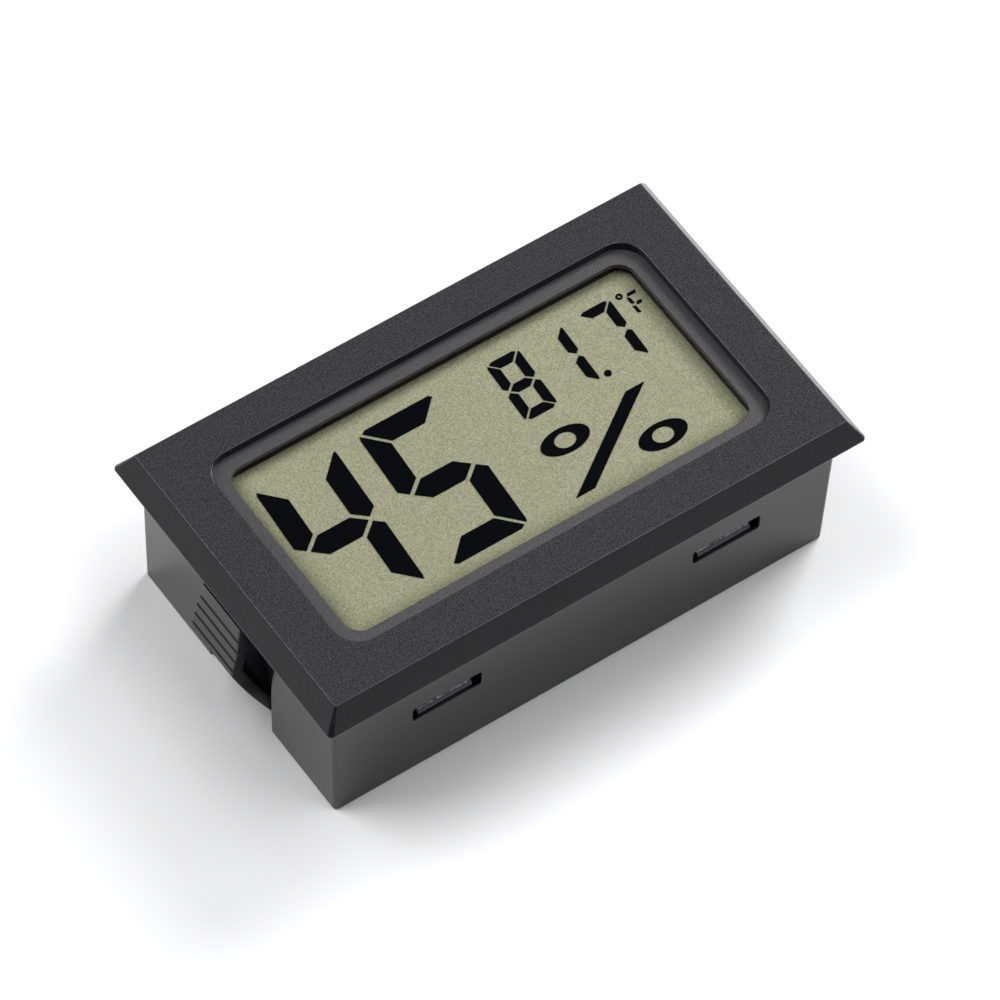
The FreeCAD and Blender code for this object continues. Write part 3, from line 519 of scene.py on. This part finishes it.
def makeFrontPane(look):
    glassLow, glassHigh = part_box("lcd_front_glass")
    filmLow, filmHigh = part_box("lcd_front_polarizer")
    bottom = glassLow.z + look["clearBehind"] * mm
    rings = [(glassLow, glassHigh, bottom), (glassLow, glassHigh, glassHigh.z),
             (filmLow, filmHigh, glassHigh.z), (filmLow, filmHigh, filmHigh.z)]
    pane = steppedPlate("front_pane", rings, "housing")
    pane.data.materials.append(glassMaterial)
    pane.data.materials.append(filmMaterial)
    for face in pane.data.polygons:
        if face.center.z > glassHigh.z + look["filmSkin"] * mm:
            face.material_index = 1
    edges = pane.modifiers.new("seamed edges", "BEVEL")
    edges.width = look["edgeRound"] * mm
    edges.segments = look["roundSteps"]
    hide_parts("lcd_front_glass", "lcd_front_polarizer")


makeFrontPane(frontPane)

# Cured epoxy round the display's edge: dark, smooth, with the glass spacers just showing
sealEpoxy = {
    "base": "#0b0a0a",
    "paler": "#26231f",
    "metallic": 0.0,
    "roughness": 0.3,
    "spacerSize": 0.06,
    "spacerDepth": 0.004,
}


def curedEpoxy(look):
    material, tree = startMaterial("cured black epoxy")
    spacers = addNode(tree, "ShaderNodeTexVoronoi",
                      {"Vector": partPlace(tree), "Scale": 1 / look["spacerSize"]}).outputs["Distance"]
    bump = addNode(tree, "ShaderNodeBump", {"Distance": look["spacerDepth"] * mm, "Height": spacers})
    return finishMaterial(material, shadeFinish(tree, look, spacers, bump.outputs["Normal"]))


dress(curedEpoxy(sealEpoxy), "lcd_edge_seal")

# Layered silicone connector: carbon-filled layers between clear ones, soft and dull
stripedConnector = {
    "base": "#0c0c0d",
    "paler": "#8d8a86",
    "metallic": 0.0,
    "roughness": 0.55,
    "layerPitch": 0.36,        # the real layers repeat every 0.18, drawn twice as coarse
    "layerSpan": (0.4, 0.6),   # wave values where a dark layer ends and a clear one begins
    "layerWander": 0.4,
    "layerDepth": 0.01,
}


def layeredSilicone(look):
    material, tree = startMaterial("layered silicone rubber")
    layers = addNode(tree, "ShaderNodeTexWave",
                     {"Vector": partPlace(tree), "Scale": waveScale(look["layerPitch"]),
                      "Distortion": look["layerWander"], "Detail": 1.0},
                     bands_direction="X").outputs["Fac"]
    darkEnd, clearStart = look["layerSpan"]
    stripes = addNode(tree, "ShaderNodeMapRange",
                      {"Value": layers, "From Min": darkEnd, "From Max": clearStart})
    bump = addNode(tree, "ShaderNodeBump", {"Distance": look["layerDepth"] * mm, "Height": layers})
    return finishMaterial(material, shadeFinish(tree, look, stripes.outputs["Result"],
                                                bump.outputs["Normal"]))


dress(layeredSilicone(stripedConnector), "zebra_strip")

# Closed-cell polyurethane foam cut from sheet: dark grey, with open pores on its cut sides
foamPad = {
    "base": "#151516",
    "paler": "#3a3a3d",
    "metallic": 0.0,
    "roughness": 0.95,
    "poreSize": 0.35,
    "poreDepth": 0.12,
}


def cutFoam(look):
    material, tree = startMaterial("cut polyurethane foam")
    pores = addNode(tree, "ShaderNodeTexVoronoi",
                    {"Vector": partPlace(tree), "Scale": 1 / look["poreSize"]}).outputs["Distance"]
    bump = addNode(tree, "ShaderNodeBump", {"Distance": look["poreDepth"] * mm, "Height": pores})
    return finishMaterial(material, shadeFinish(tree, look, pores, bump.outputs["Normal"]))


dress(cutFoam(foamPad), "lcd_foam_pad")
print("display built")

# Circuit board: glossy green solder mask over woven glass, copper tracks raised under it, and the
# bare fawn laminate on the routed edges
boardLaminate = {
    "mask": {"base": "#0a3320", "paler": "#0f4028", "metallic": 0.0, "roughness": 0.25},
    "track": {"base": "#1b5a36", "paler": "#1f653d", "metallic": 0.0, "roughness": 0.22},
    "edge": {"base": "#8d7d4e", "paler": "#b3a26f", "metallic": 0.0, "roughness": 0.7},
    "trackPitch": 1.27,
    "trackRun": 5.6,
    "trackWidth": 0.11,
    "trackSoftness": 0.2,
    "trackHeight": 0.04,
    "edgeSlope": 0.5,          # upward part of the normal below which a face is a routed edge
    "yarnPitch": 0.5,
    "yarnDepth": 0.008,
}


def maskedLaminate(look):
    material, tree = startMaterial("solder mask on woven glass laminate")
    place = partPlace(tree)
    coordinates = addNode(tree, "ShaderNodeTexCoord")
    upward = addNode(tree, "ShaderNodeSeparateXYZ", {"Vector": coordinates.outputs["Normal"]}).outputs["Z"]
    onEdge = addNode(tree, "ShaderNodeMath",
                     {0: upward, 1: 0.0, 2: look["edgeSlope"]}, operation="COMPARE").outputs[0]
    yarns = [addNode(tree, "ShaderNodeTexWave",
                     {"Vector": place, "Scale": waveScale(look["yarnPitch"])},
                     bands_direction=direction).outputs["Fac"] for direction in ("X", "Y")]
    weave = addNode(tree, "ShaderNodeMath", {0: yarns[0], 1: yarns[1]}, operation="MULTIPLY").outputs[0]
    tracks = addNode(tree, "ShaderNodeTexBrick",
                     {"Vector": place, "Scale": 1.0, "Mortar Size": look["trackWidth"],
                      "Mortar Smooth": look["trackSoftness"], "Brick Width": look["trackRun"],
                      "Row Height": look["trackPitch"]}).outputs["Fac"]
    weaveBump = addNode(tree, "ShaderNodeBump", {"Distance": look["yarnDepth"] * mm, "Height": weave})
    bump = addNode(tree, "ShaderNodeBump",
                   {"Distance": look["trackHeight"] * mm, "Height": tracks,
                    "Normal": weaveBump.outputs["Normal"]})
    masked = turnFinish(tree, tracks, look["mask"], look["track"])
    whole = turnFinish(tree, onEdge, masked, look["edge"])
    return finishMaterial(material, shadeFinish(tree, whole, weave, bump.outputs["Normal"]))


dress(maskedLaminate(boardLaminate), "circuit_board")

# Cold-headed steel, zinc plated and passivated: bright blue-grey with a fine crystalline bloom
zincScrew = {
    "base": "#8f959b",
    "paler": "#cdd2d6",
    "metallic": 1.0,
    "roughness": 0.32,
    "bloomSize": 0.15,
    "bloomDepth": 0.01,
}


def zincPlate(look):
    material, tree = startMaterial("zinc-plated steel")
    bloom = addNode(tree, "ShaderNodeTexNoise",
                    {"Vector": partPlace(tree), "Scale": 1 / look["bloomSize"],
                     "Detail": 4.0}).outputs["Fac"]
    bump = addNode(tree, "ShaderNodeBump", {"Distance": look["bloomDepth"] * mm, "Height": bloom})
    return finishMaterial(material, shadeFinish(tree, look, bloom, bump.outputs["Normal"]))


dress(zincPlate(zincScrew), "board_screws")

# Potting epoxy dropped on the bare chip and cured: black and glossy, with slow ripples
chipPotting = {
    "base": "#070708",
    "paler": "#121214",
    "metallic": 0.0,
    "roughness": 0.2,
    "rippleSize": 1.1,
    "rippleDepth": 0.05,
}


def pottedEpoxy(look):
    material, tree = startMaterial("potted black epoxy")
    ripples = addNode(tree, "ShaderNodeTexNoise",
                      {"Vector": partPlace(tree), "Scale": 1 / look["rippleSize"],
                       "Detail": 3.0}).outputs["Fac"]
    bump = addNode(tree, "ShaderNodeBump", {"Distance": look["rippleDepth"] * mm, "Height": ripples})
    return finishMaterial(material, shadeFinish(tree, look, ripples, bump.outputs["Normal"]))


dress(pottedEpoxy(chipPotting), "chip_blob")

# Tin dipped on legs and chip ends: soft grey, bright and slightly uneven
tinned = {"base": "#a9a8a5", "paler": "#d2d1cd", "metallic": 1.0, "roughness": 0.3}

# Rows of surface-mount chips, each a fired body between two tinned ends
capacitorRow = {
    "material": "fired barium titanate with tinned ends",
    "body": {"base": "#84694a", "paler": "#b08d63", "metallic": 0.0, "roughness": 0.45},
    "pitch": 5.0,
    "bodyHalf": 0.65,          # fired body from a chip's middle to its tinned end
    "grainSize": 0.12,
    "grainDepth": 0.01,
}
resistorRow = {
    "material": "glazed alumina with tinned ends",
    "body": {"base": "#101012", "paler": "#222226", "metallic": 0.0, "roughness": 0.3},
    "pitch": 3.0,
    "bodyHalf": 0.5,
    "grainSize": 0.12,
    "grainDepth": 0.01,
}


def tinnedChips(look):
    material, tree = startMaterial(look["material"])
    place = partPlace(tree)
    along = addNode(tree, "ShaderNodeSeparateXYZ", {"Vector": place}).outputs["X"]
    fromChip = addNode(tree, "ShaderNodeMath",
                       {0: along, 1: look["pitch"] / 2, 2: -look["pitch"] / 2}, operation="WRAP")
    reach = addNode(tree, "ShaderNodeMath", {0: fromChip.outputs[0]}, operation="ABSOLUTE")
    onEnd = addNode(tree, "ShaderNodeMath", {0: reach.outputs[0], 1: look["bodyHalf"]},
                    operation="GREATER_THAN")
    grain = addNode(tree, "ShaderNodeTexNoise",
                    {"Vector": place, "Scale": 1 / look["grainSize"], "Detail": 3.0}).outputs["Fac"]
    bump = addNode(tree, "ShaderNodeBump", {"Distance": look["grainDepth"] * mm, "Height": grain})
    whole = turnFinish(tree, onEnd.outputs[0], look["body"], tinned)
    return finishMaterial(material, shadeFinish(tree, whole, grain, bump.outputs["Normal"]))


dress(tinnedChips(capacitorRow), "chip_capacitors")
dress(tinnedChips(resistorRow), "chip_resistors")

# Humidity sensor: fired alumina plate, its back printed with a carbon comb, on tinned legs
humidityPlate = {
    "alumina": {"base": "#c9c4b4", "paler": "#e2decf", "metallic": 0.0, "roughness": 0.6},
    "comb": {"base": "#3c3a3b", "paler": "#8a8478", "metallic": 0.0, "roughness": 0.4},
    "margin": 0.6,             # bare alumina round the print
    "fingerPitch": 0.5,
    "fingerDepth": 0.02,
    "thickness": 0.6,
    "legStart": 0.01,          # the tin begins this far over the plate
}


def combedAlumina(look):
    material, tree = startMaterial("printed alumina with tinned legs")
    place = partPlace(tree)
    axes = addNode(tree, "ShaderNodeSeparateXYZ", {"Vector": place}).outputs
    low, high = (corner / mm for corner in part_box("humidity_sensor"))
    printed = insideBox(tree, axes, {"X": (low.x + look["margin"], high.x - look["margin"]),
                                     "Y": (low.y + look["margin"], high.y - look["margin"])})
    onLeg = insideBox(tree, axes, {"Z": (low.z + look["thickness"] + look["legStart"], high.z)})
    fingers = addNode(tree, "ShaderNodeTexWave",
                      {"Vector": place, "Scale": waveScale(look["fingerPitch"])},
                      bands_direction="Y").outputs["Fac"]
    bump = addNode(tree, "ShaderNodeBump", {"Distance": look["fingerDepth"] * mm, "Height": fingers})
    plate = turnFinish(tree, printed, look["alumina"], look["comb"])
    whole = turnFinish(tree, onLeg, plate, tinned)
    return finishMaterial(material, shadeFinish(tree, whole, fingers, bump.outputs["Normal"]))


dress(combedAlumina(humidityPlate), "humidity_sensor")

# Temperature sensor: a bead dipped in amber glass, glossy, on tinned leads
thermistorBead = {
    "glass": {"base": "#7a3d12", "paler": "#a85f22", "metallic": 0.0, "roughness": 0.08},
    "beadTop": 8.15,           # height where the bead ends and the leads begin
    "flowSize": 0.5,
    "flowDepth": 0.02,
}


def dippedGlass(look):
    material, tree = startMaterial("amber glass bead on tinned leads")
    place = partPlace(tree)
    height = addNode(tree, "ShaderNodeSeparateXYZ", {"Vector": place}).outputs["Z"]
    onLead = addNode(tree, "ShaderNodeMath", {0: height, 1: look["beadTop"]}, operation="GREATER_THAN")
    flow = addNode(tree, "ShaderNodeTexNoise",
                   {"Vector": place, "Scale": 1 / look["flowSize"], "Detail": 2.0}).outputs["Fac"]
    bump = addNode(tree, "ShaderNodeBump", {"Distance": look["flowDepth"] * mm, "Height": flow})
    whole = turnFinish(tree, onLead.outputs[0], look["glass"], tinned)
    return finishMaterial(material, shadeFinish(tree, whole, flow, bump.outputs["Normal"]))


dress(dippedGlass(thermistorBead), "temperature_sensor")
print("board and sensors dressed")

# Battery contacts: spring steel rolled along the strip, then nickel plated to a warm bright satin
springContacts = {
    "base": "#aaa598",
    "paler": "#dcd7ca",
    "metallic": 1.0,
    "roughness": 0.25,
    "rollLength": 3.0,
    "rollWidth": 0.12,
    "rollDepth": 0.008,
}


def nickelPlate(look):
    material, tree = startMaterial("nickel-plated spring steel")
    across = 1 / look["rollWidth"]
    drawn = addNode(tree, "ShaderNodeVectorMath",
                    {0: partPlace(tree), 1: (1 / look["rollLength"], across, across)},
                    operation="MULTIPLY")
    lines = addNode(tree, "ShaderNodeTexNoise",
                    {"Vector": drawn.outputs[0], "Scale": 1.0, "Detail": 3.0}).outputs["Fac"]
    bump = addNode(tree, "ShaderNodeBump", {"Distance": look["rollDepth"] * mm, "Height": lines})
    return finishMaterial(material, shadeFinish(tree, look, lines, bump.outputs["Normal"]))


dress(nickelPlate(springContacts), "battery_contact_positive", "battery_contact_negative",
      "battery_link_strip")

# Button cells: a stainless can spun bright in fine rings, and the dark nylon gasket that shows as
# a ring round the cap
buttonCell = {
    "can": {"base": "#9b9a97", "paler": "#d9d8d5", "metallic": 1.0, "roughness": 0.24},
    "gasket": {"base": "#141416", "paler": "#242427", "metallic": 0.0, "roughness": 0.5},
    "gasketRing": (4.68, 5.15),     # inner and outer radius
    "capRise": 0.5,
    "ringPitch": 0.16,
    "ringDepth": 0.005,
}


def spunCan(look, name, capInFront):
    material, tree = startMaterial("spun stainless can of " + name)
    place = partPlace(tree)
    low, high = (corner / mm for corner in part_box(name))
    middle = (low + high) / 2
    fromAxis = addNode(tree, "ShaderNodeVectorMath",
                       {0: place, 1: (middle.x, middle.y, 0)}, operation="SUBTRACT")
    level = addNode(tree, "ShaderNodeVectorMath",
                    {0: fromAxis.outputs[0], 1: (1, 1, 0)}, operation="MULTIPLY")
    radius = addNode(tree, "ShaderNodeVectorMath", {0: level.outputs[0]},
                     operation="LENGTH").outputs["Value"]
    height = addNode(tree, "ShaderNodeSeparateXYZ", {"Vector": place}).outputs["Z"]
    capSpan = (high.z - look["capRise"], high.z) if capInFront else (low.z, low.z + look["capRise"])
    onGasket = insideBox(tree, {"radius": radius, "height": height},
                         {"radius": look["gasketRing"], "height": capSpan})
    turns = addNode(tree, "ShaderNodeTexNoise",
                    {"W": radius, "Scale": 1 / look["ringPitch"], "Detail": 3.0},
                    noise_dimensions="1D").outputs["Fac"]
    bump = addNode(tree, "ShaderNodeBump", {"Distance": look["ringDepth"] * mm, "Height": turns})
    whole = turnFinish(tree, onGasket, look["can"], look["gasket"])
    return finishMaterial(material, shadeFinish(tree, whole, turns, bump.outputs["Normal"]))


dress(spunCan(buttonCell, "battery_cell_a", False), "battery_cell_a")
dress(spunCan(buttonCell, "battery_cell_b", True), "battery_cell_b")
print("battery and contacts dressed")

# Pale sweep and studio light
paleFloor = {
    "base": "#f1f1f2",
    "paler": "#f7f7f8",
    "cloudSize": 120.0,
    "roughness": 0.6,
    "halfSize": 1500.0,
}


def makeFloor(look):
    half = look["halfSize"] * mm
    mesh = bmesh.new()
    corners = [mesh.verts.new((x * half, y * half, 0)) for x, y in ((-1, -1), (1, -1), (1, 1), (-1, 1))]
    mesh.faces.new(corners)
    data = bpy.data.meshes.new("studio_floor")
    mesh.to_mesh(data)
    mesh.free()
    material, tree = startMaterial("matt white laminate table")
    clouds = addNode(tree, "ShaderNodeTexNoise",
                     {"Vector": partPlace(tree), "Scale": 1 / look["cloudSize"]})
    colour = addNode(tree, "ShaderNodeMix",
                     {"Factor": clouds.outputs["Fac"], "A": hexColour(look["base"]),
                      "B": hexColour(look["paler"])}, data_type="RGBA")
    shader = addNode(tree, "ShaderNodeBsdfPrincipled",
                     {"Base Color": colour.outputs["Result"], "Roughness": look["roughness"]})
    data.materials.append(finishMaterial(material, shader.outputs["BSDF"]))
    floor = bpy.data.objects.new("studio_floor", data)
    scene.collection.objects.link(floor)


makeFloor(paleFloor)

# Softboxes: place and size in mm, power in watts, each aimed at the middle of the part
softboxes = {
    "keyRight": {"place": (300, 100, 292), "size": 175, "power": 1.15, "colour": "#ffffff"},
    "fillBackLeft": {"place": (-500, 450, 1000), "size": 700, "power": 9.2, "colour": "#ffffff"},
    "overhead": {"place": (110, -110, 400), "size": 280, "power": 0.88, "colour": "#ffffff"},
}
roomLight = {"colour": "#eef0f4", "strength": 0.08}


def makeLights():
    for name, look in softboxes.items():
        data = bpy.data.lights.new(name, "AREA")
        data.size = look["size"] * mm
        data.energy = look["power"]
        data.color = hexColour(look["colour"])[:3]
        light = bpy.data.objects.new(name, data)
        spot = Vector(look["place"]) * mm
        turn = (-spot).to_track_quat("-Z", "Y").to_matrix().to_4x4()
        light.matrix_world = Matrix.Translation(spot) @ turn
        scene.collection.objects.link(light)
    room = bpy.data.worlds.new("room")
    room.use_nodes = True
    room.node_tree.nodes.clear()
    glow = addNode(room.node_tree, "ShaderNodeBackground",
                   {"Color": hexColour(roomLight["colour"]), "Strength": roomLight["strength"]})
    addNode(room.node_tree, "ShaderNodeOutputWorld", {"Surface": glow.outputs["Background"]})
    scene.world = room


makeLights()

# Camera of the photograph
photoCamera = {
    "place": (-187.824, -244.369, 452.318),
    "lookAt": (0.5656, -0.6993, 7.6),
    "roll": 3.5264,            # degrees
    "lens": 261.6,
    "sensor": 36.0,
    "clipStart": 10.0,
    "clipEnd": 20000.0,
}


def makeCamera(look):
    data = bpy.data.cameras.new("photoCamera")
    data.lens = look["lens"]
    data.sensor_width = look["sensor"]
    data.clip_start = look["clipStart"] * mm
    data.clip_end = look["clipEnd"] * mm
    camera = bpy.data.objects.new("photoCamera", data)
    spot = Vector(look["place"]) * mm
    turn = (Vector(look["lookAt"]) * mm - spot).to_track_quat("-Z", "Y")
    turn = turn @ Quaternion((0, 0, 1), math.radians(look["roll"]))
    camera.matrix_world = Matrix.Translation(spot) @ turn.to_matrix().to_4x4()
    scene.collection.objects.link(camera)
    scene.camera = camera
    # Plain display transform, so that a white table stays white
    scene.view_settings.view_transform = "Standard"


makeCamera(photoCamera)
print("studio ready")
